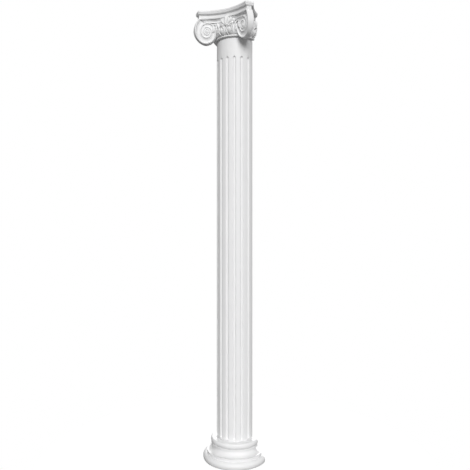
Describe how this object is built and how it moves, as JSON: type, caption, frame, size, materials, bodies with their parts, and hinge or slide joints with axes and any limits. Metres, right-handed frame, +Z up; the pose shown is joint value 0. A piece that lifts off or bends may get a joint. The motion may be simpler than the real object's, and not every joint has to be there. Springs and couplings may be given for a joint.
{
  "type": "half column with a scroll-volute capital",
  "caption": "Fluted half column with a round moulded base, a flat back and a capital of diagonal scroll volutes under a concave-sided abacus.",
  "frame": {"origin": "on the floor, on the axis of the column, in the plane of the flat back", "axes": "+Z up along the axis of the column, +Y out of the flat back towards the wall, so the front faces -Y and +X is to the right of a viewer who faces it"},
  "size_m": [0.364, 0.182, 2.49],
  "materials": {
    "white_casting": "smooth moulded foam with satin-matt white primer"
  },
  "bodies": {
    "root": {"base": "white_casting", "shaft": "white_casting", "capital": "white_casting"}
  },
  "joints": []
}
